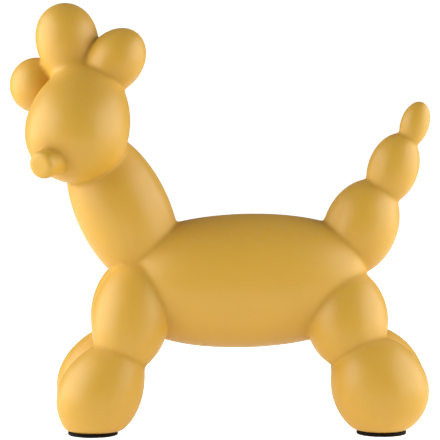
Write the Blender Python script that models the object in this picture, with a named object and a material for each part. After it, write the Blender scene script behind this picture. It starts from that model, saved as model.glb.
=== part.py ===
"""Balloon poodle: a cast figurine shaped like a twisted balloon dog, standing on four felt pads.

The casting is one solid, made of rounded bubbles that run into each other. The dog stands
along X with its head towards -X and turned to look over its right side (-Y); +Z is up, and
the floor under the pads is Z = 0. Sizes in the tables are millimetres.
"""

import math
from collections import namedtuple

import bmesh
import bpy
from mathutils import Matrix, Vector

MM = 0.001

# ---- driving sizes -------------------------------------------------------------------
PAD_DIAMETER = 28.0
PAD_THICKNESS = 2.0
PAD_EDGE = 0.3
PAD_SIDES = 28
PAD_SHARP_ANGLE = 30.0
PAD_GAP = 0.3
SOLE_HEIGHT = PAD_THICKNESS + PAD_GAP

FRONT_HALF_TRACK = 26.0
REAR_HALF_TRACK = 28.0
FRONT_PAD_X = -72.3
REAR_RIGHT_PAD_X = 89.9
REAR_LEFT_PAD_X = 95.0

# A bubble is turned about its own axis. centre is its middle, in mm. swing is the compass
# angle of the axis about Z from +X and rise its angle above level, both in degrees. half is
# half its length, girth its largest radius before taper, full its end shape (1 is an
# ellipsoid, less is blunter), and taper makes the end that the axis points to fatter.
Bubble = namedtuple("Bubble", "name centre swing rise half girth full taper rings sides")

TRUNK = (
    Bubble("body", (14.4, 0.0, 84.2), 0.0, 1.6, 68.8, 38.2, 0.55, 0.0, 18, 34),
    Bubble("neck", (-55.3, 0.0, 124.7), 180.0, 64.2, 49.7, 26.4, 1.0, 0.0, 14, 28),
)
HEAD = (
    Bubble("head", (-79.1, -9.0, 176.1), 71.7, 45.2, 36.7, 28.6, 0.85, -0.17, 16, 30),
    Bubble("top_lobe", (-86.2, 8.0, 217.5), 180.0, 78.6, 25.2, 17.6, 1.0, 0.15, 14, 26),
    Bubble("right_lobe", (-59.7, 0.5, 209.4), 0.0, 51.8, 20.4, 15.9, 1.0, 0.0, 12, 24),
    Bubble("left_lobe", (-105.6, 19.5, 195.9), 180.0, 11.1, 14.7, 15.7, 1.0, 0.0, 12, 24),
)
TAIL = (
    Bubble("tail_root", (80.5, 0.0, 114.6), 0.0, 67.0, 28.6, 21.0, 1.0, 0.0, 14, 24),
    Bubble("tail_middle", (99.0, 0.0, 148.1), 0.0, 70.9, 20.9, 14.4, 1.0, 0.0, 12, 22),
    Bubble("tail_tip", (111.3, 0.0, 173.5), 0.0, 72.5, 13.3, 8.2, 1.0, 0.0, 10, 18),
)
# The legs differ a little from side to side, as hand-modelled ones do.
UPPER_LEGS = (
    Bubble("front_right_upper", (-50.5, -17.9, 65.9), 58.0, 68.0, 33.2, 22.0, 1.0, 0.0, 14, 24),
    Bubble("front_left_upper", (-51.4, 17.5, 66.6), -58.0, 68.0, 32.5, 22.4, 1.0, 0.0, 14, 24),
    Bubble("rear_right_upper", (71.2, -16.4, 64.1), 100.0, 62.0, 29.8, 23.4, 1.0, 0.0, 14, 24),
    Bubble("rear_left_upper", (71.5, 16.0, 64.6), -100.0, 62.0, 29.6, 23.2, 1.0, 0.0, 14, 24),
)
FEET = (
    Bubble("front_right_foot", (-66.4, -FRONT_HALF_TRACK, 26.0), 0.0, 59.0, 32.6, 22.8, 1.25,
           -0.17, 14, 26),
    Bubble("front_left_foot", (-67.0, FRONT_HALF_TRACK, 28.3), 0.0, 59.0, 34.5, 23.6, 1.25,
           -0.17, 14, 26),
    Bubble("rear_right_foot", (88.2, -REAR_HALF_TRACK, 27.0), 180.0, 57.0, 29.4, 26.7, 0.95,
           -0.07, 14, 26),
    Bubble("rear_left_foot", (92.8, REAR_HALF_TRACK, 26.4), 180.0, 57.0, 30.5, 26.0, 0.95,
           -0.07, 14, 26),
)
# Nose stub: a short button whose round end looks away from the head.
NOSE_BASE = (-93.6, -33.0, 154.3)
NOSE_SWING = 238.0
NOSE_RISE = -12.0
NOSE_LENGTH = 13.5
NOSE_ROOT_RADIUS = 8.7
NOSE_END_RADIUS = 7.9
NOSE_DOME = 2.4
NOSE_ROOT_SHARE = 0.35
NOSE_DOME_RINGS = 4
NOSE_SIDES = 20

CASTING_COLOUR = (0.62, 0.36, 0.055, 1.0)
CASTING_ROUGHNESS = 0.45
PAD_COLOUR = (0.012, 0.011, 0.010, 1.0)
PAD_ROUGHNESS = 0.95


# ---- helpers -------------------------------------------------------------------------
def clear_objects():
    for thing in list(bpy.data.objects):
        bpy.data.objects.remove(thing, do_unlink=True)


def material(name, colour, roughness):
    made = bpy.data.materials.new(name)
    made.use_nodes = True
    shader = made.node_tree.nodes["Principled BSDF"]
    shader.inputs["Base Color"].default_value = colour
    shader.inputs["Roughness"].default_value = roughness
    shader.inputs["Metallic"].default_value = 0.0
    return made


def pointing(swing, rise):
    """Rotation that lays local +Z along the direction given by swing and rise."""
    level = math.cos(math.radians(rise))
    direction = Vector((
        level * math.cos(math.radians(swing)),
        level * math.sin(math.radians(swing)),
        math.sin(math.radians(rise)),
    ))
    return direction.to_track_quat("Z", "Y").to_matrix().to_4x4()


def turned(profile, sides):
    """Closed bmesh turned about Z from (radius, height) points that run up from the axis."""
    shape = bmesh.new()
    points = [shape.verts.new((radius, 0.0, height)) for radius, height in profile]
    edges = [shape.edges.new(pair) for pair in zip(points, points[1:])]
    bmesh.ops.spin(
        shape,
        geom=points + edges,
        cent=(0.0, 0.0, 0.0),
        axis=(0.0, 0.0, 1.0),
        angle=math.tau,
        steps=sides,
        use_merge=True,
    )
    bmesh.ops.remove_doubles(shape, verts=shape.verts[:], dist=1e-6)
    bmesh.ops.recalc_face_normals(shape, faces=shape.faces[:])
    return shape


def bubble_profile(bubble):
    """Half outline of a bubble, in metres, from its tail end up to the end it points to."""
    points = []
    for step in range(bubble.rings + 1):
        angle = math.pi * (1.0 - step / bubble.rings)
        along = math.cos(angle)
        across = 0.0
        if 0 < step < bubble.rings:
            across = math.sin(angle) ** bubble.full * (1.0 + bubble.taper * along)
        points.append((bubble.girth * across * MM, bubble.half * along * MM))
    return points


def nose_profile():
    """Half outline of the nose stub: sunk root, slightly waisted wall, rounded end."""
    root, end = NOSE_ROOT_RADIUS, NOSE_END_RADIUS
    wall = NOSE_LENGTH - NOSE_DOME
    points = [(0.0, 0.0), (root, 0.0), (root, NOSE_ROOT_SHARE * wall), (end, wall)]
    for step in range(1, NOSE_DOME_RINGS + 1):
        angle = math.pi / 2 * step / NOSE_DOME_RINGS
        points.append((end * math.cos(angle), wall + NOSE_DOME * math.sin(angle)))
    points[-1] = (0.0, NOSE_LENGTH)
    return [(radius * MM, height * MM) for radius, height in points]


def placed(shape, centre, swing, rise):
    shape.transform(Matrix.Translation(Vector(centre) * MM) @ pointing(swing, rise))
    return shape


def flatten_sole(shape, height):
    """Cut a foot flat at a height above the floor and close the cut."""
    cut = bmesh.ops.bisect_plane(
        shape,
        geom=shape.verts[:] + shape.edges[:] + shape.faces[:],
        plane_co=(0.0, 0.0, height * MM),
        plane_no=(0.0, 0.0, -1.0),
        clear_outer=True,
    )
    rim = [part for part in cut["geom_cut"] if isinstance(part, bmesh.types.BMEdge)]
    bmesh.ops.contextual_create(shape, geom=rim)
    bmesh.ops.recalc_face_normals(shape, faces=shape.faces[:])
    return shape


def new_object(name, shape, paint):
    mesh = bpy.data.meshes.new(name)
    shape.to_mesh(mesh)
    shape.free()
    mesh.materials.append(paint)
    mesh.shade_smooth()
    thing = bpy.data.objects.new(name, mesh)
    bpy.context.scene.collection.objects.link(thing)
    return thing


# ---- the casting ---------------------------------------------------------------------
def all_bubbles():
    """Every bubble as (bubble, is_foot), the body first."""
    whole = [(bubble, False) for bubble in TRUNK + HEAD + TAIL + UPPER_LEGS]
    return whole + [(bubble, True) for bubble in FEET]


def make_casting(paint):
    """One solid: the body with every other bubble and the nose joined to it."""
    joined = bpy.data.collections.new("joined_bubbles")
    bpy.context.scene.collection.children.link(joined)
    casting = None
    shapes = []
    for bubble, is_foot in all_bubbles():
        shape = placed(turned(bubble_profile(bubble), bubble.sides), bubble.centre,
                       bubble.swing, bubble.rise)
        if is_foot:
            flatten_sole(shape, SOLE_HEIGHT)
        shapes.append((bubble.name, shape))
    nose = placed(turned(nose_profile(), NOSE_SIDES), NOSE_BASE, NOSE_SWING, NOSE_RISE)
    shapes.append(("nose", nose))
    for name, shape in shapes:
        if casting is None:
            casting = new_object("balloon_poodle", shape, paint)
            continue
        piece = new_object("bubble_" + name, shape, paint)
        piece.parent = casting
        piece.hide_render = True
        piece.display_type = "WIRE"
        bpy.context.scene.collection.objects.unlink(piece)
        joined.objects.link(piece)
    union = casting.modifiers.new("join the bubbles", "BOOLEAN")
    union.operation = "UNION"
    union.solver = "EXACT"
    union.operand_type = "COLLECTION"
    union.collection = joined
    return casting


# ---- the pads ------------------------------------------------------------------------
def make_pad(name, x, y, paint):
    """Felt disc with a small chamfer on both rims, its underside on the floor."""
    radius = PAD_DIAMETER / 2
    profile = [
        (0.0, 0.0),
        (radius - PAD_EDGE, 0.0),
        (radius, PAD_EDGE),
        (radius, PAD_THICKNESS - PAD_EDGE),
        (radius - PAD_EDGE, PAD_THICKNESS),
        (0.0, PAD_THICKNESS),
    ]
    shape = turned([(r * MM, z * MM) for r, z in profile], PAD_SIDES)
    pad = new_object(name, shape, paint)
    pad.data.set_sharp_from_angle(angle=math.radians(PAD_SHARP_ANGLE))
    pad.location = (x * MM, y * MM, 0.0)
    return pad


def centre_over_origin(stand, casting):
    """Slide the whole figurine so the casting's box is centred over the origin."""
    bpy.context.view_layer.update()
    finished = casting.evaluated_get(bpy.context.evaluated_depsgraph_get())
    corners = [Vector(corner) for corner in finished.bound_box]
    middle = sum(corners, Vector()) / len(corners)
    stand.location = (-middle.x, -middle.y, 0.0)


def main():
    clear_objects()
    casting_paint = material("mustard_lacquer", CASTING_COLOUR, CASTING_ROUGHNESS)
    felt = material("black_felt", PAD_COLOUR, PAD_ROUGHNESS)
    stand = bpy.data.objects.new("figurine", None)
    bpy.context.scene.collection.objects.link(stand)
    pieces = [make_casting(casting_paint)]
    for name, x, y in (("pad_front_right", FRONT_PAD_X, -FRONT_HALF_TRACK),
                       ("pad_front_left", FRONT_PAD_X, FRONT_HALF_TRACK),
                       ("pad_rear_right", REAR_RIGHT_PAD_X, -REAR_HALF_TRACK),
                       ("pad_rear_left", REAR_LEFT_PAD_X, REAR_HALF_TRACK)):
        pieces.append(make_pad(name, x, y, felt))
    for piece in pieces:
        piece.parent = stand
    centre_over_origin(stand, pieces[0])


main()
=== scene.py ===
"""Balloon poodle, the finished look: a lacquered casting of rounded bubbles on four felt pads.

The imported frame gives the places. The casting is remade as one smooth skin over the same
bubbles, with a soft fillet in every crease, and each pad is remade as a disc of pressed felt
on a film of glue. Lengths are metres, apart from the bubble table, which is in millimetres.
"""

import math
from collections import namedtuple

import bmesh
import bpy
import numpy as np
from bpy.props import FloatProperty, FloatVectorProperty, IntProperty, PointerProperty
from mathutils import Matrix, Vector, noise


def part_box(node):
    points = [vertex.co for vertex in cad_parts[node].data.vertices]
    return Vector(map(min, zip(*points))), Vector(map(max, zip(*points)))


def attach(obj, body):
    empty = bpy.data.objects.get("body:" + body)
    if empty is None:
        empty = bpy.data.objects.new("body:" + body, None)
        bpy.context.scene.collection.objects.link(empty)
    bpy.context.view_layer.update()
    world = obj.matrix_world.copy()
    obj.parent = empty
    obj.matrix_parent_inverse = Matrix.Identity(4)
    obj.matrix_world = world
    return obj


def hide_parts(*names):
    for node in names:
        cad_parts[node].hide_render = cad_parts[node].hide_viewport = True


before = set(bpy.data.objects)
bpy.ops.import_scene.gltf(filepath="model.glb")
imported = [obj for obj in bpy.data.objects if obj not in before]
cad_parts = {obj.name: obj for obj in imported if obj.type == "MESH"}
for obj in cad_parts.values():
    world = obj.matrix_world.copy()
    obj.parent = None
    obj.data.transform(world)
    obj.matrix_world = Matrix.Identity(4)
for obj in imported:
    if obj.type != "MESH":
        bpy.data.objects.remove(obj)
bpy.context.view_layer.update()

bl_info = {
    "name": "Balloon Poodle",
    "version": (1, 0, 0),
    "blender": (4, 5, 0),
    "location": "3D View > Sidebar > Poodle",
    "description": "Cast balloon poodle with a satin lacquer, felt pads and a studio stage",
    "category": "Object",
}

CASTING_NODE = "balloon_poodle"
PAD_NODES = ("pad_front_right", "pad_front_left", "pad_rear_right", "pad_rear_left")
MM = 0.001

# How far the painted shade in a crease reaches out of it, and the longest move that a
# corner of the skin makes in one step, both in mm.
CREASE_SHADE_REACH = 2.2
LARGEST_MOVE = 0.6
# Rounds of evening out the skin's mesh, and the moves onto the skin after each round.
SMOOTHING_ROUNDS = (6, 3, 2)
MOVES_ONTO_SKIN = 5
# Least width of a tapered bubble, as a share of its girth, and least slope of the skin field.
LEAST_WIDTH = 0.15
LEAST_SLOPE = 0.2
# Guards against dividing by nothing: a length in mm, and a slope.
TINY_LENGTH = 1e-6
TINY_SLOPE = 1e-9
# Mesh of one bubble before the skin is wrapped over it.
BUBBLE_SIDES = 64
BUBBLE_RINGS = 40
# Steps round a rounded rim, rings across a pad, sides round a pad, steps up the floor's bend.
RIM_STEPS = 5
PAD_RINGS = 12
PAD_SIDES = 112
SWEEP_STEPS = 12
# Corners closer than this are one corner, in metres.
MERGE_DISTANCE = 1e-7
# Radius of a loose fibre at its root, in metres.
HAIR_RADIUS = 0.00003
# Scale of the felt's unevenness over its surface.
FELT_WAVE_SCALE = 900.0
# Colours of dust on the lacquer and on the felt.
LACQUER_DUST = (0.66, 0.58, 0.44)
FELT_DUST = (0.20, 0.18, 0.15)
# How bright the floor looks to the camera, and where its own light ends and is full.
SEEN_GLOW = 1.1
GLOW_END = 1.1
GLOW_FULL = 0.3
# Distance of the front fill, as a multiple of the softboxes' distance.
FILL_DISTANCE = 1.8


# ---- the bubbles, as the CAD has them --------------------------------------------------
# centre is a bubble's middle in mm. swing is the compass angle of its axis about Z from +X
# and rise the angle above level, in degrees. half is half its length, girth its largest
# radius before taper, full its end shape (1 is an ellipsoid, less is blunter), taper makes
# the end that the axis points to fatter, and flat squares off both ends (2 is round).
Bubble = namedtuple("Bubble", "centre swing rise half girth full taper flat", defaults=(2.0,))

FRONT_HALF_TRACK = 26.0
REAR_HALF_TRACK = 28.0

# The head runs softly into the lobe on its crown.
SOFT_BUBBLES = {
    "head": Bubble((-79.1, -9.0, 176.1), 71.7, 45.2, 36.7, 28.6, 0.85, -0.17),
    "top_lobe": Bubble((-86.2, 8.0, 217.5), 180.0, 78.6, 25.2, 17.6, 1.0, 0.15),
}
# Every other pair of bubbles meets in a firm crease.
FIRM_BUBBLES = {
    "body": Bubble((14.4, 0.0, 84.2), 0.0, 1.6, 68.8, 38.2, 0.55, 0.0),
    "neck": Bubble((-55.3, 0.0, 124.7), 180.0, 64.2, 49.7, 26.4, 1.0, 0.0),
    "left_lobe": Bubble((-105.6, 19.5, 195.9), 180.0, 11.1, 14.7, 15.7, 1.0, 0.0),
    "right_lobe": Bubble((-59.7, 0.5, 209.4), 0.0, 51.8, 20.4, 15.9, 1.0, 0.0),
    "tail_root": Bubble((80.5, 0.0, 114.6), 0.0, 67.0, 28.6, 21.0, 1.0, 0.0),
    "tail_middle": Bubble((99.0, 0.0, 148.1), 0.0, 70.9, 20.9, 14.4, 1.0, 0.0),
    "tail_tip": Bubble((111.3, 0.0, 173.5), 0.0, 72.5, 13.3, 8.2, 1.0, 0.0),
    "front_right_upper": Bubble((-50.5, -17.9, 65.9), 58.0, 68.0, 33.2, 22.0, 1.0, 0.0),
    "front_left_upper": Bubble((-51.4, 17.5, 66.6), -58.0, 68.0, 32.5, 22.4, 1.0, 0.0),
    "rear_right_upper": Bubble((71.2, -16.4, 64.1), 100.0, 62.0, 29.8, 23.4, 1.0, 0.0),
    "rear_left_upper": Bubble((71.5, 16.0, 64.6), -100.0, 62.0, 29.6, 23.2, 1.0, 0.0),
    "front_right_foot": Bubble(
        (-66.4, -FRONT_HALF_TRACK, 26.0), 0.0, 59.0, 32.6, 22.8, 1.25, -0.17),
    "front_left_foot": Bubble(
        (-67.0, FRONT_HALF_TRACK, 28.3), 0.0, 59.0, 34.5, 23.6, 1.25, -0.17),
    "rear_right_foot": Bubble(
        (88.2, -REAR_HALF_TRACK, 27.0), 180.0, 57.0, 29.4, 26.7, 0.95, -0.07),
    "rear_left_foot": Bubble(
        (92.8, REAR_HALF_TRACK, 26.4), 180.0, 57.0, 30.5, 26.0, 0.95, -0.07),
}
# The nose is a short stub with a rounded end, sunk into the head.
NOSE = Bubble((-95.9, -36.7, 153.4), 238.0, -12.0, 9.2, 8.2, 0.35, -0.03, 5.5)


# ---- settings --------------------------------------------------------------------------
class PoodleCastingSettings(bpy.types.PropertyGroup):
    crease: FloatProperty(
        name="Crease softness", description="Softness of the fillet where bubbles meet",
        default=0.0008, min=0.0001, unit="LENGTH")
    head_crease: FloatProperty(
        name="Head softness", description="Softness where the head runs into its crown",
        default=0.0022, min=0.0001, unit="LENGTH")
    nose_crease: FloatProperty(
        name="Nose softness", description="Softness of the fillet round the nose",
        default=0.0007, min=0.0001, unit="LENGTH")
    sole_edge: FloatProperty(
        name="Sole edge softness", description="Softness of the edge of each flat sole",
        default=0.0006, min=0.0001, unit="LENGTH")
    skin_step: FloatProperty(
        name="Skin step", description="Spacing of the mesh over the whole casting",
        default=0.0013, min=0.0005, unit="LENGTH")
    paint: FloatVectorProperty(
        name="Lacquer", description="Main colour of the lacquer",
        default=(0.655, 0.370, 0.043), subtype="COLOR", min=0.0, max=1.0)
    # Painted shade: a darker colour laid into the creases in place of their shadow; pinholes
    # take it too.
    crease_shade_and_pit_colour: FloatVectorProperty(
        name="Crease shade and pits", description="Colour of the painted shade in creases, and of pinholes",
        default=(0.44, 0.218, 0.020), subtype="COLOR", min=0.0, max=1.0)
    roughness: FloatProperty(
        name="Lacquer roughness", description="Roughness of the clean lacquer",
        default=0.43, min=0.0, max=1.0)


class PoodlePadSettings(bpy.types.PropertyGroup):
    edge: FloatProperty(
        name="Felt edge radius", description="Radius of the rounded rim of a pad",
        default=0.0007, min=0.0001, unit="LENGTH")
    unevenness: FloatProperty(
        name="Felt unevenness", description="How far the pressed felt strays from flat",
        default=0.00012, min=0.0, unit="LENGTH")
    hairs: IntProperty(
        name="Loose fibres", description="Loose fibres round the rim of each pad",
        default=170, min=0)
    hair_length: FloatProperty(
        name="Fibre length", description="Longest loose fibre",
        default=0.0011, min=0.0001, unit="LENGTH")
    film_radius: FloatProperty(
        name="Glue film radius", description="Radius of the film of glue on each pad",
        default=0.0105, min=0.001, unit="LENGTH")
    felt: FloatVectorProperty(
        name="Felt", description="Main colour of the felt",
        default=(0.0060, 0.0045, 0.0030), subtype="COLOR", min=0.0, max=1.0)
    felt_light: FloatVectorProperty(
        name="Felt fibres", description="Colour of the lighter fibres in the felt",
        default=(0.022, 0.017, 0.012), subtype="COLOR", min=0.0, max=1.0)
    film: FloatVectorProperty(
        name="Glue film", description="Colour of the dried glue",
        default=(0.16, 0.10, 0.045), subtype="COLOR", min=0.0, max=1.0)


class PoodleStageSettings(bpy.types.PropertyGroup):
    floor: FloatVectorProperty(
        name="Floor", description="Colour of the floor and the wall behind",
        default=(0.86, 0.86, 0.86), subtype="COLOR", min=0.0, max=1.0)
    floor_size: FloatProperty(
        name="Floor size", description="Length of each side of the floor",
        default=6.0, min=1.0, unit="LENGTH")
    box_size: FloatProperty(
        name="Softbox size", description="Width and height of the two side softboxes",
        default=1.3, min=0.1, unit="LENGTH")
    box_distance: FloatProperty(
        name="Softbox distance", description="How far each softbox stands from the poodle",
        default=0.85, min=0.3, unit="LENGTH")
    box_swing: FloatProperty(
        name="Softbox swing", description="Angle of each softbox round from the front",
        default=math.radians(83.0), subtype="ANGLE")
    box_lift: FloatProperty(
        name="Softbox lift", description="Height of each softbox's middle over the aim point",
        default=0.15, unit="LENGTH")
    left_power: FloatProperty(
        name="Left softbox", description="Power of the softbox on the head's side",
        default=18.6, min=0.0)
    right_power: FloatProperty(
        name="Right softbox", description="Power of the softbox on the tail's side",
        default=16.6, min=0.0)
    fill_power: FloatProperty(
        name="Front fill", description="Power of the weak light near the camera",
        default=0.3, min=0.0)
    room: FloatProperty(
        name="Room light", description="Strength of the light from the room all round",
        default=0.075, min=0.0)
    # The floor near the poodle glows with light of its own, a painted glow in place of light
    # bounced off the table.
    table_glow: FloatProperty(
        name="Table glow", description="Strength of the light that the floor gives back",
        default=0.46, min=0.0)
    aim: FloatVectorProperty(
        name="Aim point", description="Point that the camera and the lights look at",
        default=(-0.0004, 0.0003, 0.1189), subtype="XYZ", unit="LENGTH")
    camera_distance: FloatProperty(
        name="Camera distance", description="Distance from the camera to the point it looks at",
        default=1.3, min=0.3, unit="LENGTH")
    camera_swing: FloatProperty(
        name="Camera swing", description="Angle of the camera about the upright axis",
        default=math.radians(-2.0), subtype="ANGLE")
    camera_rise: FloatProperty(
        name="Camera rise", description="Angle of the camera above level",
        default=math.radians(3.5), subtype="ANGLE")
    lens: FloatProperty(
        name="Focal length", description="Focal length of the lens, in millimetres",
        default=186.3, min=20.0)


# ---- shapes ----------------------------------------------------------------------------
def direction(swing, rise):
    """Unit vector at a compass angle and an angle above level, both in degrees."""
    level = math.cos(math.radians(rise))
    return Vector((
        level * math.cos(math.radians(swing)),
        level * math.sin(math.radians(swing)),
        math.sin(math.radians(rise)),
    ))


def add_bubble(whole, bubble, floor=None):
    """Adds a bubble to the bmesh: a globe pulled to length, girth, fullness and taper.

    Where a floor height is given, the bubble is cut off flat there.
    """
    shape = bmesh.new()
    bmesh.ops.create_uvsphere(
        shape, u_segments=BUBBLE_SIDES, v_segments=BUBBLE_RINGS, radius=1.0)
    for corner in shape.verts:
        along = max(-1.0, min(1.0, corner.co.z))
        across = math.hypot(corner.co.x, corner.co.y)
        if across > TINY_LENGTH:
            round_part = max(0.0, 1.0 - abs(along) ** bubble.flat) ** (bubble.full / 2)
            width = bubble.girth * round_part * (1.0 + bubble.taper * along)
            corner.co.x *= width / across
            corner.co.y *= width / across
        corner.co.z = bubble.half * along
    turn = direction(bubble.swing, bubble.rise).to_track_quat("Z", "Y").to_matrix().to_4x4()
    shape.transform(Matrix.Translation(Vector(bubble.centre)) @ turn)
    if floor is not None:
        cut_level(shape, floor)
    bmesh.ops.recalc_face_normals(shape, faces=shape.faces[:])
    mesh = bpy.data.meshes.new("one_bubble")
    shape.to_mesh(mesh)
    shape.free()
    whole.from_mesh(mesh)
    bpy.data.meshes.remove(mesh)


def cut_level(shape, height):
    """Cuts a shape off below a height and closes the cut."""
    cut = bmesh.ops.bisect_plane(
        shape,
        geom=shape.verts[:] + shape.edges[:] + shape.faces[:],
        plane_co=(0.0, 0.0, height),
        plane_no=(0.0, 0.0, -1.0),
        clear_outer=True,
    )
    rim = [part for part in cut["geom_cut"] if isinstance(part, bmesh.types.BMEdge)]
    bmesh.ops.contextual_create(shape, geom=rim)


def new_piece(name, shape, paint=None):
    """Turns a bmesh into a smooth-shaded object at the origin."""
    mesh = bpy.data.meshes.new(name)
    shape.to_mesh(mesh)
    shape.free()
    mesh.shade_smooth()
    if paint is not None:
        mesh.materials.append(paint)
    piece = bpy.data.objects.new(name, mesh)
    bpy.context.scene.collection.objects.link(piece)
    return piece


# ---- the skin over the bubbles ---------------------------------------------------------
def reach(bubble, points):
    """Distance of each point outside a bubble, in mm, and the way straight out of it."""
    axis = np.array(direction(bubble.swing, bubble.rise))
    away = points - np.array(bubble.centre)
    along = away @ axis
    sideways = away - along[:, None] * axis
    across = np.maximum(np.linalg.norm(sideways, axis=1), TINY_LENGTH)
    share = along / bubble.half
    width = bubble.girth * np.maximum(LEAST_WIDTH, 1.0 + bubble.taper * share)
    power = 2.0 / bubble.full
    wide = across / width
    level = wide ** power + np.abs(share) ** bubble.flat - 1.0
    slope_across = power * wide ** (power - 1.0) / width
    slope_along = bubble.flat * np.abs(share) ** (bubble.flat - 1.0) * np.sign(share)
    slope_along -= power * wide ** power * bubble.taper * bubble.girth / width
    slope_along /= bubble.half
    steep = np.maximum(np.hypot(slope_across, slope_along), TINY_SLOPE)
    outward = sideways / across[:, None] * slope_across[:, None] + slope_along[:, None] * axis
    return level / steep, outward / steep[:, None]


def melt(parts, softness):
    """Joins several (distance, way out) fields into one, rounding the creases between."""
    distances = np.stack([distance for distance, _ in parts])
    ways = np.stack([way for _, way in parts])
    nearest = distances.min(axis=0)
    shares = np.exp((nearest - distances) / softness)
    total = shares.sum(axis=0)
    distance = nearest - softness * np.log(total)
    return distance, (shares[:, :, None] * ways).sum(axis=0) / total[:, None]


def skin_field(points, settings, sole):
    """Distance outside the casting's skin and the way out, and how deep in a crease."""
    head = melt([reach(b, points) for b in SOFT_BUBBLES.values()], settings.head_crease / MM)
    firm = [head] + [reach(b, points) for b in FIRM_BUBBLES.values()]
    near = np.sort(np.stack([distance for distance, _ in firm]), axis=0)
    nose = reach(NOSE, points)
    skin = melt([melt(firm, settings.crease / MM), nose], settings.nose_crease / MM)
    seam = np.exp(-(near[1] - near[0]) / CREASE_SHADE_REACH)
    nose_seam = np.exp(-np.abs(near[0] - nose[0]) / CREASE_SHADE_REACH)
    below = (sole - points[:, 2], np.tile((0.0, 0.0, -1.0), (len(points), 1)))
    inside = melt([(-skin[0], -skin[1]), (-below[0], -below[1])], settings.sole_edge / MM)
    return -inside[0], -inside[1], np.maximum(seam, nose_seam)


def rest_on_skin(points, settings, sole):
    """Moves the points straight onto the casting's skin."""
    for _ in range(MOVES_ONTO_SKIN):
        distance, way, _ = skin_field(points, settings, sole)
        steep = np.maximum(np.linalg.norm(way, axis=1), LEAST_SLOPE)
        move = np.clip(distance / steep, -LARGEST_MOVE, LARGEST_MOVE)
        points = points - way / steep[:, None] * move[:, None]
    return points


def read_corners(mesh):
    flat = np.zeros(len(mesh.vertices) * 3)
    mesh.vertices.foreach_get("co", flat)
    return flat.reshape(-1, 3)


def write_corners(mesh, points):
    mesh.vertices.foreach_set("co", points.astype(np.float32).ravel())
    mesh.update()


def relax(mesh, times):
    """Evens out the spacing of the mesh."""
    shape = bmesh.new()
    shape.from_mesh(mesh)
    for _ in range(times):
        bmesh.ops.smooth_vert(
            shape, verts=shape.verts[:], factor=0.5,
            use_axis_x=True, use_axis_y=True, use_axis_z=True)
    shape.to_mesh(mesh)
    shape.free()


def wrapped(rough, step):
    """One closed even mesh round everything in the rough object, which is then removed."""
    wrap = rough.modifiers.new("one skin", "REMESH")
    wrap.mode = "VOXEL"
    wrap.voxel_size = step
    finished = rough.evaluated_get(bpy.context.evaluated_depsgraph_get())
    mesh = bpy.data.meshes.new_from_object(finished)
    bpy.data.objects.remove(rough, do_unlink=True)
    return mesh


def make_casting(settings):
    """The casting as one smooth skin, with its crease depth stored for the painted crease shade.
    """
    low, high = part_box(CASTING_NODE)
    sole = low.z / MM
    shape = bmesh.new()
    for name, bubble in {**SOFT_BUBBLES, **FIRM_BUBBLES, "nose": NOSE}.items():
        add_bubble(shape, bubble, sole if name.endswith("_foot") else None)
    rough = new_piece("rough_bubbles", shape)
    coarser = 1.0
    mesh = wrapped(rough, settings.skin_step / MM * coarser)
    mesh.name = "poodle_casting"
    for smoothing in SMOOTHING_ROUNDS:
        relax(mesh, smoothing)
        write_corners(mesh, rest_on_skin(read_corners(mesh), settings, sole))
    points = read_corners(mesh)
    seam = skin_field(points, settings, sole)[2]
    kept = mesh.attributes.new("seam", "FLOAT", "POINT")
    kept.data.foreach_set("value", seam.astype(np.float32))
    middle = (points.min(axis=0) + points.max(axis=0)) / 2 * MM
    frame_middle = (low + high) / 2
    slide = np.array((frame_middle.x - middle[0], frame_middle.y - middle[1], 0.0))
    write_corners(mesh, points * MM + slide)
    mesh.shade_smooth()
    mesh.materials.clear()
    mesh.materials.append(lacquer(settings))
    casting = bpy.data.objects.new("poodle_casting", mesh)
    bpy.context.scene.collection.objects.link(casting)
    return casting


# ---- felt pads -------------------------------------------------------------------------
def pad_outline(radius, thickness, edge):
    """Half outline of a pad, from the middle of its underside out and round to its top."""
    outline = [((radius - edge) * ring / PAD_RINGS, 0.0) for ring in range(PAD_RINGS + 1)]
    for step in range(1, RIM_STEPS + 1):
        angle = math.pi / 2 * step / RIM_STEPS
        outline.append((
            radius - edge + edge * math.sin(angle), edge - edge * math.cos(angle)))
    for step in range(RIM_STEPS + 1):
        angle = math.pi / 2 * step / RIM_STEPS
        outline.append((
            radius - edge + edge * math.cos(angle), thickness - edge + edge * math.sin(angle)))
    for ring in range(PAD_RINGS - 1, -1, -1):
        outline.append(((radius - edge) * ring / PAD_RINGS, thickness))
    return outline


def spun(outline, sides):
    """Closed bmesh spun about Z from a half outline."""
    shape = bmesh.new()
    points = [shape.verts.new((radius, 0.0, height)) for radius, height in outline]
    edges = [shape.edges.new(pair) for pair in zip(points, points[1:])]
    bmesh.ops.spin(
        shape, geom=points + edges, cent=(0.0, 0.0, 0.0), axis=(0.0, 0.0, 1.0),
        angle=math.tau, steps=sides, use_merge=True)
    bmesh.ops.remove_doubles(shape, verts=shape.verts[:], dist=MERGE_DISTANCE)
    bmesh.ops.recalc_face_normals(shape, faces=shape.faces[:])
    return shape


def fluff(shape, thickness, unevenness, seed):
    """Strays every corner of a pad a little, keeping it on the floor and under the sole."""
    offset = Vector((seed, 0.0, 0.0))
    shape.normal_update()
    for corner in shape.verts:
        stray = noise.fractal(corner.co * FELT_WAVE_SCALE + offset, 0.8, 2.1, 3)
        corner.co += corner.normal * stray * unevenness
        corner.co.z = min(max(corner.co.z, 0.0), thickness)


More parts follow.
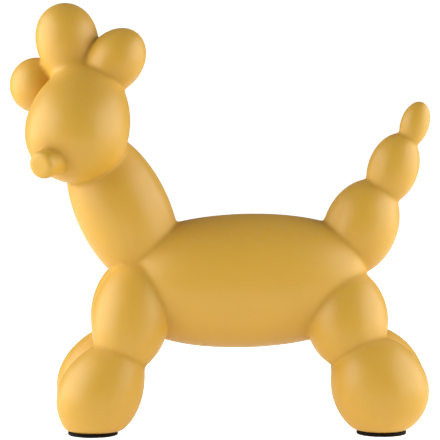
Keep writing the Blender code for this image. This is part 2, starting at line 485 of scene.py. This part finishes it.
def add_hairs(shape, radius, thickness, count, longest, seed):
    """Adds loose fibres that lean out of a pad's rim, each a thin three-sided spike."""
    golden = math.pi * (3.0 - math.sqrt(5.0))
    for index in range(count):
        stray = noise.cell_vector(Vector((index, seed, 0.5)))
        around = golden * index
        outward = Vector((math.cos(around), math.sin(around), 0.0))
        sideways = Vector((-outward.y, outward.x, 0.0))
        way = (outward + sideways * (stray.x - 0.5) * 2.4
               + Vector((0.0, 0.0, stray.y - 0.5)) * 0.8).normalized()
        length = longest * (0.35 + 0.65 * stray.z)
        height = thickness * (0.25 + 0.5 * stray.y)
        root = outward * (radius - longest * 0.25) + Vector((0.0, 0.0, height))
        turn = way.to_track_quat("Z", "Y").to_matrix().to_4x4()
        middle = Matrix.Translation(root + way * length / 2)
        bmesh.ops.create_cone(
            shape, cap_ends=True, segments=3, radius1=HAIR_RADIUS, radius2=HAIR_RADIUS / 4,
            depth=length, matrix=middle @ turn)


def make_pad(node, seed, settings, felt):
    """A felt disc in place of a pad's CAD node."""
    low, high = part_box(node)
    radius = (high.x - low.x) / 2
    thickness = high.z - low.z
    shape = spun(pad_outline(radius, thickness, settings.edge), PAD_SIDES)
    fluff(shape, thickness, settings.unevenness, seed)
    add_hairs(shape, radius, thickness, settings.hairs, settings.hair_length, seed)
    centre = Vector(((low.x + high.x) / 2, (low.y + high.y) / 2, low.z))
    bmesh.ops.translate(shape, verts=shape.verts[:], vec=centre)
    return new_piece("felt_" + node, shape, felt)


def make_film(node, settings, glue):
    """The thin film of glue between a pad and the sole above it."""
    low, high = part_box(node)
    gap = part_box(CASTING_NODE)[0].z - high.z
    radius = settings.film_radius
    bead = gap / 2
    outline = [(0.0, 0.0), (radius - bead, 0.0)]
    for step in range(1, RIM_STEPS):
        angle = math.pi * step / RIM_STEPS - math.pi / 2
        outline.append((
            radius - bead + bead * math.cos(angle), bead + bead * math.sin(angle)))
    outline += [(radius - bead, gap), (0.0, gap)]
    shape = spun(outline, PAD_SIDES // 2)
    centre = Vector(((low.x + high.x) / 2, (low.y + high.y) / 2, high.z))
    bmesh.ops.translate(shape, verts=shape.verts[:], vec=centre)
    return new_piece("glue_" + node, shape, glue)


# ---- shader building blocks ------------------------------------------------------------
def add_node(tree, kind, x, y, **values):
    """Adds a shader node at a place in the tree; values set its properties."""
    made = tree.nodes.new(kind)
    made.location = (x, y)
    for key, value in values.items():
        setattr(made, key, value)
    return made


def set_inputs(made, **values):
    """Sets a node's inputs by name, with _ for each space."""
    for key, value in values.items():
        made.inputs[key.replace("_", " ")].default_value = value


def new_group(name, inputs, outputs):
    """Empty shader group with its inputs and float outputs, and its two end nodes."""
    group = bpy.data.node_groups.new(name, "ShaderNodeTree")
    for label, kind, default in inputs:
        socket = group.interface.new_socket(label, in_out="INPUT", socket_type=kind)
        if default is not None:
            socket.default_value = default
    for label in outputs:
        group.interface.new_socket(label, in_out="OUTPUT", socket_type="NodeSocketFloat")
    start = add_node(group, "NodeGroupInput", -900, 0)
    end = add_node(group, "NodeGroupOutput", 700, 0)
    return group, start, end


def noise_at(tree, x, y, vector, scale, detail, roughness=0.55):
    made = add_node(tree, "ShaderNodeTexNoise", x, y)
    set_inputs(made, Detail=detail, Roughness=roughness)
    tree.links.new(vector, made.inputs["Vector"])
    if isinstance(scale, (int, float)):
        made.inputs["Scale"].default_value = scale
    else:
        tree.links.new(scale, made.inputs["Scale"])
    return made.outputs["Fac"]


def maths(tree, x, y, operation, first, second=None, clamp=False):
    """One Math node; first and second are sockets or numbers."""
    made = add_node(tree, "ShaderNodeMath", x, y, operation=operation, use_clamp=clamp)
    for index, value in enumerate((first, second)):
        if value is None:
            continue
        if isinstance(value, (int, float)):
            made.inputs[index].default_value = value
        else:
            tree.links.new(value, made.inputs[index])
    return made.outputs[0]


def between(tree, x, y, value, low, high):
    """Maps a socket that runs from low to high onto 0 to 1, smoothly."""
    made = add_node(tree, "ShaderNodeMapRange", x, y, interpolation_type="SMOOTHSTEP")
    tree.links.new(value, made.inputs["Value"])
    made.inputs["From Min"].default_value = low
    made.inputs["From Max"].default_value = high
    return made.outputs["Result"]


def colour_mix(tree, x, y, factor, first, second):
    """Mixes two colours, each a socket or a plain colour."""
    made = add_node(tree, "ShaderNodeMix", x, y, data_type="RGBA")
    tree.links.new(factor, made.inputs["Factor"])
    for label, value in (("A", first), ("B", second)):
        socket = next(s for s in made.inputs if s.name == label and s.type == "RGBA")
        if isinstance(value, bpy.types.NodeSocket):
            tree.links.new(value, socket)
        else:
            socket.default_value = (*value, 1.0)
    return next(s for s in made.outputs if s.type == "RGBA")


def mottle_group():
    """Cloudy unevenness at two scales: how finishes vary in shade, gloss and height."""
    name = "cloudy unevenness"
    if name in bpy.data.node_groups:
        return bpy.data.node_groups[name]
    group, start, end = new_group(
        name,
        [("Vector", "NodeSocketVector", None), ("Scale", "NodeSocketFloat", 40.0),
         ("Contrast", "NodeSocketFloat", 1.0)],
        ["Cloud", "Grain"])
    vector, scale = start.outputs["Vector"], start.outputs["Scale"]
    cloud = noise_at(group, -600, 200, vector, scale, 3.0)
    fine_scale = maths(group, -750, -200, "MULTIPLY", scale, 9.0)
    grain = noise_at(group, -600, -200, vector, fine_scale, 2.0)
    for y, value, label in ((200, cloud, "Cloud"), (-200, grain, "Grain")):
        centred = maths(group, -350, y, "SUBTRACT", value, 0.5)
        stretched = maths(group, -150, y, "MULTIPLY", centred, start.outputs["Contrast"])
        shown = maths(group, 50, y, "ADD", stretched, 0.5, clamp=True)
        group.links.new(shown, end.inputs[label])
    return group


def dust_group():
    """Fine dust that settles on faces that look up, in loose patches."""
    name = "settled dust"
    if name in bpy.data.node_groups:
        return bpy.data.node_groups[name]
    group, start, end = new_group(
        name,
        [("Vector", "NodeSocketVector", None), ("Scale", "NodeSocketFloat", 300.0),
         ("Amount", "NodeSocketFloat", 0.2)],
        ["Dust"])
    surface = add_node(group, "ShaderNodeNewGeometry", -900, 300)
    parts = add_node(group, "ShaderNodeSeparateXYZ", -700, 300)
    group.links.new(surface.outputs["Normal"], parts.inputs["Vector"])
    upward = between(group, -500, 300, parts.outputs["Z"], 0.35, 1.0)
    patches = noise_at(
        group, -500, 0, start.outputs["Vector"], start.outputs["Scale"], 5.0, 0.7)
    patchy = between(group, -300, 0, patches, 0.42, 0.68)
    settled = maths(group, -100, 150, "MULTIPLY", upward, patchy)
    dust = maths(group, 100, 150, "MULTIPLY", settled, start.outputs["Amount"], clamp=True)
    group.links.new(dust, end.inputs["Dust"])
    return group


def speck_group():
    """Sparse round specks, such as pinholes in lacquer or lint in felt."""
    name = "sparse specks"
    if name in bpy.data.node_groups:
        return bpy.data.node_groups[name]
    group, start, end = new_group(
        name,
        [("Vector", "NodeSocketVector", None), ("Scale", "NodeSocketFloat", 200.0),
         ("Size", "NodeSocketFloat", 0.12)],
        ["Speck"])
    cells = add_node(group, "ShaderNodeTexVoronoi", -600, 0)
    group.links.new(start.outputs["Vector"], cells.inputs["Vector"])
    group.links.new(start.outputs["Scale"], cells.inputs["Scale"])
    parts = add_node(group, "ShaderNodeSeparateColor", -400, -150)
    group.links.new(cells.outputs["Color"], parts.inputs["Color"])
    chosen = maths(group, -200, -150, "GREATER_THAN", parts.outputs["Red"], 0.82)
    inside = maths(group, -400, 100, "SUBTRACT", start.outputs["Size"],
                   cells.outputs["Distance"])
    edge = maths(group, -200, 100, "MULTIPLY", inside, 12.0, clamp=True)
    speck = maths(group, 0, 0, "MULTIPLY", edge, chosen)
    group.links.new(speck, end.inputs["Speck"])
    return group


def use_group(tree, group, x, y, vector, **values):
    """Puts a shared group in a material, with its own values."""
    made = add_node(tree, "ShaderNodeGroup", x, y, node_tree=group)
    tree.links.new(vector, made.inputs["Vector"])
    set_inputs(made, **values)
    return made.outputs


def new_material(name):
    """Material with an empty tree but for its Principled shader, and Object coordinates."""
    made = bpy.data.materials.new(name)
    made.use_nodes = True
    tree = made.node_tree
    shader = tree.nodes["Principled BSDF"]
    shader.location = (500, 0)
    tree.nodes["Material Output"].location = (800, 0)
    place = add_node(tree, "ShaderNodeTexCoord", -1500, 0)
    return made, tree, shader, place.outputs["Object"]


def add_bump(tree, shader, height, strength, depth):
    bump = add_node(tree, "ShaderNodeBump", 250, -400)
    set_inputs(bump, Strength=strength, Distance=depth)
    tree.links.new(height, bump.inputs["Height"])
    tree.links.new(bump.outputs["Normal"], shader.inputs["Normal"])


# ---- finishes --------------------------------------------------------------------------
def lacquer(settings):
    """Satin mustard lacquer, with painted shade darkening it in the creases."""
    made, tree, shader, place = new_material("mustard_lacquer")
    paint = Vector(settings.paint)
    slow = use_group(tree, mottle_group(), -1200, 300, place, Scale=34.0, Contrast=1.6)
    peel = use_group(tree, mottle_group(), -1200, 0, place, Scale=420.0, Contrast=1.2)
    dust = use_group(tree, dust_group(), -1200, -300, place, Scale=260.0, Amount=0.10)
    specks = use_group(tree, speck_group(), -1200, -600, place, Scale=150.0, Size=0.07)
    # The seam attribute marks nearness to a crease; there the lacquer is painted darker as
    # painted shade, and made rougher.
    seam = add_node(tree, "ShaderNodeAttribute", -1200, 600, attribute_name="seam")
    crease_mask = between(tree, -1000, 600, seam.outputs["Fac"], 0.10, 1.0)
    painted_crease_shade = maths(tree, -800, 600, "MULTIPLY", crease_mask, 0.38)
    shade = colour_mix(tree, -700, 300, slow["Cloud"], paint * 0.965, paint * 1.03)
    grained = colour_mix(
        tree, -500, 300, maths(tree, -700, 100, "MULTIPLY", slow["Grain"], 0.10),
        shade, paint * 0.88)
    crease_shaded = colour_mix(tree, -300, 300, painted_crease_shade, grained, settings.crease_shade_and_pit_colour)
    dusty = colour_mix(tree, -100, 300, dust["Dust"], crease_shaded, LACQUER_DUST)
    # Pinholes take the same dark colour as the painted crease shade.
    pitted = colour_mix(
        tree, 100, 300, maths(tree, -100, 100, "MULTIPLY", specks["Speck"], 0.35),
        dusty, settings.crease_shade_and_pit_colour)
    tree.links.new(pitted, shader.inputs["Base Color"])
    uneven = maths(tree, -700, -100, "MULTIPLY", slow["Cloud"], 0.07)
    dull = maths(tree, -700, -250, "MULTIPLY", dust["Dust"], 0.9)
    gloss = maths(tree, -500, -150, "ADD", uneven, dull)
    flatter = maths(tree, -400, -250, "ADD", gloss, painted_crease_shade)
    glossy = maths(tree, -300, -150, "ADD", flatter, settings.roughness - 0.035)
    tree.links.new(glossy, shader.inputs["Roughness"])
    waves = maths(tree, -700, -450, "MULTIPLY", slow["Grain"], 0.5)
    dimples = maths(tree, -700, -600, "MULTIPLY", peel["Cloud"], 0.25)
    pits = maths(tree, -700, -750, "MULTIPLY", specks["Speck"], -0.6)
    rise = maths(tree, -500, -500, "ADD", waves, dimples)
    add_bump(tree, shader, maths(tree, -300, -500, "ADD", rise, pits), 0.35, 0.00022)
    set_inputs(shader, Coat_Weight=0.08, Coat_Roughness=0.36, Specular_IOR_Level=0.45)
    return made


def pressed_felt(settings):
    """Black pressed felt: matted fibres in two directions, with pale lint."""
    made, tree, shader, place = new_material("black_felt")
    lie = []
    for index, (turn, stretch) in enumerate(((0.4, (1.0, 6.0, 2.0)), (1.9, (6.0, 1.0, 2.0)))):
        mapping = add_node(tree, "ShaderNodeMapping", -1300, 300 - 400 * index)
        tree.links.new(place, mapping.inputs["Vector"])
        set_inputs(mapping, Rotation=(0.2, 0.3, turn), Scale=stretch)
        lie.append(noise_at(
            tree, -1100, 300 - 400 * index, mapping.outputs["Vector"], 900.0, 3.0, 0.65))
    fibres = maths(tree, -900, 100, "MAXIMUM", *lie)
    matted = between(tree, -700, 100, fibres, 0.50, 0.72)
    patches = use_group(tree, mottle_group(), -1100, -500, place, Scale=180.0, Contrast=1.5)
    lint = use_group(tree, speck_group(), -1100, -750, place, Scale=700.0, Size=0.20)
    dust = use_group(tree, dust_group(), -1100, -1000, place, Scale=600.0, Amount=0.05)
    shade = colour_mix(
        tree, -300, 200, maths(tree, -500, 200, "MULTIPLY", matted, 0.6),
        settings.felt, settings.felt_light)
    worn = colour_mix(
        tree, -100, 200, maths(tree, -300, 0, "MULTIPLY", patches["Cloud"], 0.25),
        shade, Vector(settings.felt) * 1.9)
    linted = colour_mix(
        tree, 100, 200, maths(tree, -100, -100, "MULTIPLY", lint["Speck"], 0.5),
        worn, Vector(settings.felt_light) * 2.2)
    dusty = colour_mix(tree, 300, 200, dust["Dust"], linted, FELT_DUST)
    tree.links.new(dusty, shader.inputs["Base Color"])
    rough = maths(tree, -300, -250, "MULTIPLY", matted, 0.08)
    tree.links.new(maths(tree, -100, -250, "ADD", rough, 0.90), shader.inputs["Roughness"])
    add_bump(tree, shader, maths(tree, -300, -450, "ADD", fibres, patches["Grain"]), 0.8, 0.0003)
    set_inputs(shader, Sheen_Weight=0.06, Sheen_Roughness=0.5, Specular_IOR_Level=0.12)
    return made


def dried_glue(settings):
    """Amber film of dried glue, cloudy and half glossy."""
    made, tree, shader, place = new_material("dried_glue")
    cloud = use_group(tree, mottle_group(), -900, 200, place, Scale=350.0, Contrast=1.8)
    specks = use_group(tree, speck_group(), -900, -200, place, Scale=900.0, Size=0.25)
    film = Vector(settings.film)
    shade = colour_mix(tree, -500, 200, cloud["Cloud"], film * 0.6, film * 1.3)
    bubbled = colour_mix(tree, -200, 200, specks["Speck"], shade, film * 2.0)
    tree.links.new(bubbled, shader.inputs["Base Color"])
    rough = maths(tree, -500, -100, "MULTIPLY", cloud["Grain"], 0.3)
    tree.links.new(maths(tree, -300, -100, "ADD", rough, 0.25), shader.inputs["Roughness"])
    add_bump(tree, shader, cloud["Grain"], 0.3, 0.0001)
    return made


def stage_paint(settings):
    """Pale matt paint for the floor and the wall behind, faintly uneven, that glows: evenly
    white to the camera, and near the poodle a painted glow that lights it from below.
    """
    made, tree, shader, place = new_material("pale_stage_paint")
    cloud = use_group(tree, mottle_group(), -900, 200, place, Scale=0.8, Contrast=1.0)
    floor = Vector(settings.floor)
    shade = colour_mix(tree, -300, 200, cloud["Cloud"], floor * 0.995, floor)
    tree.links.new(shade, shader.inputs["Base Color"])
    rough = maths(tree, -500, -100, "MULTIPLY", cloud["Grain"], 0.05)
    tree.links.new(maths(tree, -300, -100, "ADD", rough, 0.92), shader.inputs["Roughness"])
    set_inputs(shader, Specular_IOR_Level=0.0)
    tree.links.new(shade, shader.inputs["Emission Color"])
    ray = add_node(tree, "ShaderNodeLightPath", -300, -400)
    seen = maths(tree, -100, -400, "MULTIPLY", ray.outputs["Is Camera Ray"], SEEN_GLOW)
    away = add_node(tree, "ShaderNodeVectorMath", -700, -600, operation="LENGTH")
    tree.links.new(place, away.inputs[0])
    near = between(tree, -500, -600, away.outputs["Value"], GLOW_END, GLOW_FULL)
    given = maths(tree, -300, -600, "MULTIPLY", near, settings.table_glow)
    glow = maths(tree, 100, -500, "MAXIMUM", seen, given)
    tree.links.new(glow, shader.inputs["Emission Strength"])
    return made


# ---- stage -----------------------------------------------------------------------------
def make_floor(settings):
    """Flat floor that bends up into a wall behind the poodle."""
    size = settings.floor_size
    bend = size / 4
    back = size / 2
    outline = [(-size, 0.0), (back - bend, 0.0)]
    for step in range(1, SWEEP_STEPS + 1):
        angle = math.pi / 2 * step / SWEEP_STEPS
        outline.append((
            back - bend + bend * math.sin(angle), bend - bend * math.cos(angle)))
    outline.append((back, size))
    shape = bmesh.new()
    points = [shape.verts.new((-size, y, z)) for y, z in outline]
    edges = [shape.edges.new(pair) for pair in zip(points, points[1:])]
    pulled = bmesh.ops.extrude_edge_only(shape, edges=edges)["geom"]
    moved = [part for part in pulled if isinstance(part, bmesh.types.BMVert)]
    bmesh.ops.translate(shape, verts=moved, vec=(2 * size, 0.0, 0.0))
    bmesh.ops.recalc_face_normals(shape, faces=shape.faces[:])
    return new_piece("studio_floor", shape, stage_paint(settings))


def add_softbox(name, spot, aim, size, power):
    """Square soft light at a spot, facing the point it is aimed at."""
    data = bpy.data.lights.new(name, "AREA")
    data.shape = "SQUARE"
    data.size = size
    data.energy = power
    light = bpy.data.objects.new(name, data)
    light.location = spot
    light.rotation_euler = (aim - spot).to_track_quat("-Z", "Y").to_euler()
    bpy.context.scene.collection.objects.link(light)


def add_room(strength):
    """Even dim light from all round."""
    room = bpy.data.worlds.new("studio_room")
    room.use_nodes = True
    glow = room.node_tree.nodes["Background"]
    glow.inputs["Color"].default_value = (1.0, 1.0, 1.0, 1.0)
    glow.inputs["Strength"].default_value = strength
    bpy.context.scene.world = room


def add_camera(settings, aim):
    """Camera on its swing and rise round the aim point, with everything in focus."""
    data = bpy.data.cameras.new("studio_camera")
    data.sensor_width = 36.0
    data.lens = settings.lens
    data.clip_end = 50.0
    level = math.cos(settings.camera_rise)
    way = Vector((
        math.sin(settings.camera_swing) * level,
        -math.cos(settings.camera_swing) * level,
        math.sin(settings.camera_rise),
    ))
    camera = bpy.data.objects.new("studio_camera", data)
    camera.location = aim + way * settings.camera_distance
    camera.rotation_euler = (-way).to_track_quat("-Z", "Y").to_euler()
    bpy.context.scene.collection.objects.link(camera)
    bpy.context.scene.camera = camera


# ---- operators -------------------------------------------------------------------------
class POODLE_OT_casting(bpy.types.Operator):
    """Make the lacquered casting in place of its CAD node"""

    bl_idname = "poodle.casting"
    bl_label = "Casting"

    def execute(self, context):
        casting = make_casting(context.scene.poodle_casting)
        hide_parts(CASTING_NODE)
        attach(casting, "root")
        return {"FINISHED"}


class POODLE_OT_pads(bpy.types.Operator):
    """Make the four felt pads in place of their CAD nodes, with the glue that holds them"""

    bl_idname = "poodle.pads"
    bl_label = "Felt pads"

    def execute(self, context):
        settings = context.scene.poodle_pads
        felt = pressed_felt(settings)
        glue = dried_glue(settings)
        for seed, node in enumerate(PAD_NODES, start=1):
            pad = make_pad(node, seed, settings, felt)
            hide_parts(node)
            film = make_film(node, settings, glue)
            for piece in (pad, film):
                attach(piece, "root")
        return {"FINISHED"}


class POODLE_OT_stage(bpy.types.Operator):
    """Set out the pale floor, the soft lights and the camera"""

    bl_idname = "poodle.stage"
    bl_label = "Stage"

    def execute(self, context):
        settings = context.scene.poodle_stage
        make_floor(settings)
        aim = Vector(settings.aim)
        size, away = settings.box_size, settings.box_distance
        for name, side, power in (("left_softbox", -1.0, settings.left_power),
                                  ("right_softbox", 1.0, settings.right_power)):
            turn = settings.box_swing
            spot = aim + Vector((
                side * math.sin(turn) * away, -math.cos(turn) * away, settings.box_lift))
            add_softbox(name, spot, aim, size, power)
        front = aim + Vector((0.0, -FILL_DISTANCE * away, 0.0))
        add_softbox("front_fill", front, aim, size, settings.fill_power)
        add_room(settings.room)
        add_camera(settings, aim)
        context.scene.view_settings.view_transform = "Standard"
        return {"FINISHED"}


class POODLE_PT_panel(bpy.types.Panel):
    """Lists the poodle's pieces and their settings"""

    bl_label = "Balloon Poodle"
    bl_idname = "POODLE_PT_panel"
    bl_space_type = "VIEW_3D"
    bl_region_type = "UI"
    bl_category = "Poodle"

    def draw(self, context):
        for operator, owner in ((POODLE_OT_casting, context.scene.poodle_casting),
                                (POODLE_OT_pads, context.scene.poodle_pads),
                                (POODLE_OT_stage, context.scene.poodle_stage)):
            box = self.layout.box()
            box.operator(operator.bl_idname)
            for name in owner.__annotations__:
                box.prop(owner, name)


CLASSES = (
    PoodleCastingSettings,
    PoodlePadSettings,
    PoodleStageSettings,
    POODLE_OT_casting,
    POODLE_OT_pads,
    POODLE_OT_stage,
    POODLE_PT_panel,
)


def register():
    for item in CLASSES:
        bpy.utils.register_class(item)
    bpy.types.Scene.poodle_casting = PointerProperty(type=PoodleCastingSettings)
    bpy.types.Scene.poodle_pads = PointerProperty(type=PoodlePadSettings)
    bpy.types.Scene.poodle_stage = PointerProperty(type=PoodleStageSettings)


def unregister():
    del bpy.types.Scene.poodle_stage
    del bpy.types.Scene.poodle_pads
    del bpy.types.Scene.poodle_casting
    for item in reversed(CLASSES):
        bpy.utils.unregister_class(item)


def main():
    register()
    bpy.ops.poodle.casting()
    bpy.ops.poodle.pads()
    bpy.ops.poodle.stage()


if __name__ == "__main__":
    main()
